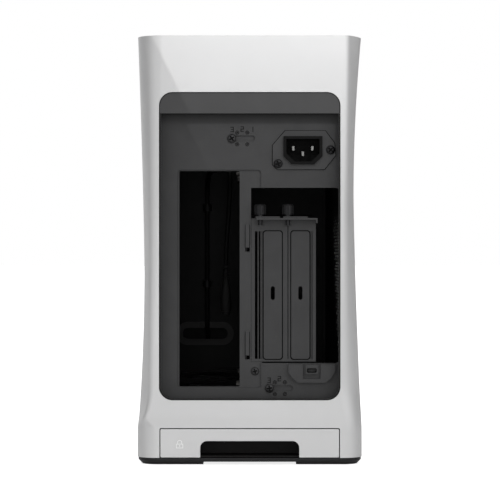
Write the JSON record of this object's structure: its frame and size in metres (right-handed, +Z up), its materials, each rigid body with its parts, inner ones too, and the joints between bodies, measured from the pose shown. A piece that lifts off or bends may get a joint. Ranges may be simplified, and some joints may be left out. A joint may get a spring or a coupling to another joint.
{
  "type": "computer case",
  "caption": "Upright small computer case: waisted lift-off shell over a chassis with a shifting spine, rear ports, slot covers, fans and a bottom drawer.",
  "frame": {"origin": "centre of the footprint, on the floor", "axes": "+Z up, rear face towards -Y, +X to the right seen from the rear"},
  "size_m": [0.165, 0.366, 0.314],
  "materials": {
    "silver_shell": "fine bead-blasted silver",
    "dark_plastic": "satin dark grey",
    "dark_steel": "fine textured black paint",
    "spine_steel": "fine textured black paint",
    "plated_steel": "plated, satin",
    "black_plastic": "matte black",
    "black_rubber": "matte black",
    "black_screws": "black zinc",
    "fan_blades": "satin black",
    "board_green": "solder mask",
    "black_cable": "matte black jacket",
    "filter_mesh": "fine black mesh",
    "brass_parts": "brass"
  },
  "bodies": {
    "chassis": {"base_ring": "black_plastic", "foot_pads": "black_rubber", "deck": "dark_steel", "deck_sides": "dark_steel", "drawer_rails": "black_plastic", "front_plate": "dark_steel", "rear_frame": "dark_steel", "top_frame": "dark_steel", "frame_screws": "black_screws", "cable_grommet": "black_rubber", "fan_frame_1": "black_plastic", "fan_frame_2": "black_plastic", "fan_screws": "black_screws", "psu_bracket": "dark_steel", "cable_clips": "black_plastic", "inlet_plate": "dark_steel", "inlet_socket": "black_plastic", "inlet_pins": "plated_steel", "inlet_screws": "black_screws", "gate_housing": "dark_plastic", "front_panel": "silver_shell", "port_board": "board_green", "usb_ports": "plated_steel", "audio_jack": "black_plastic", "front_lead": "black_cable", "front_lead_relief": "black_cable", "front_lead_plug": "black_cable", "spine_rail": "dark_steel"},
    "shell": {"outer_shell": "silver_shell", "rear_bezel": "dark_plastic", "lid_ledge": "dark_steel"},
    "lid": {"top_lid": "dark_steel", "lid_studs": "plated_steel"},
    "drawer": {"drawer_front": "silver_shell", "drawer_pull": "black_plastic", "drawer_frame": "black_plastic", "filter_sheet": "filter_mesh"},
    "spine": {"spine_wall": "dark_steel", "spine_rear_plate": "spine_steel", "slot_bracket": "spine_steel", "slot_cover_1": "dark_steel", "slot_cover_2": "dark_steel", "standoffs": "brass_parts", "spine_screws": "black_screws", "plate_screws": "black_screws"},
    "left_thumbscrew": {"thumbscrew_1": "black_screws"},
    "right_thumbscrew": {"thumbscrew_2": "black_screws"},
    "rear_rotor": {"fan_rotor_1": "fan_blades"},
    "front_rotor": {"fan_rotor_2": "fan_blades"},
    "button": {"power_button": "dark_plastic"},
    "latch": {"gate_latch": "black_plastic"}
  },
  "joints": [
    {"name": "shell_lift", "type": "slide", "parent": "chassis", "child": "shell", "axis": [0, 0, 1], "range_m": [0, 0.32]},
    {"name": "lid_lift", "type": "slide", "parent": "shell", "child": "lid", "axis": [0, 0, 1], "range_m": [0, 0.03]},
    {"name": "drawer_slide", "type": "slide", "parent": "chassis", "child": "drawer", "axis": [0, -1, 0], "range_m": [0, 0.3]},
    {"name": "spine_shift", "type": "slide", "parent": "chassis", "child": "spine", "axis": [1, 0, 0], "range_m": [0, 0.015]},
    {"name": "left_thumbscrew_turn", "type": "hinge", "parent": "spine", "child": "left_thumbscrew", "pos_m": [0.0077, -0.1741, 0.185], "axis": [0, 0, 1], "continuous": true},
    {"name": "right_thumbscrew_turn", "type": "hinge", "parent": "spine", "child": "right_thumbscrew", "pos_m": [0.02802, -0.1741, 0.185], "axis": [0, 0, 1], "continuous": true},
    {"name": "rear_fan_spin", "type": "hinge", "parent": "chassis", "child": "rear_rotor", "pos_m": [0, -0.0605, 0.035], "axis": [0, 0, 1], "continuous": true},
    {"name": "front_fan_spin", "type": "hinge", "parent": "chassis", "child": "front_rotor", "pos_m": [0, 0.0605, 0.035], "axis": [0, 0, 1], "continuous": true},
    {"name": "power_button_press", "type": "slide", "parent": "chassis", "child": "button", "axis": [0, -1, 0], "range_m": [0, 0.0012], "stiffness_N_per_m": 600},
    {"name": "gate_latch_slide", "type": "slide", "parent": "chassis", "child": "latch", "axis": [0, 0, -1], "range_m": [0, 0.0025], "stiffness_N_per_m": 200}
  ]
}
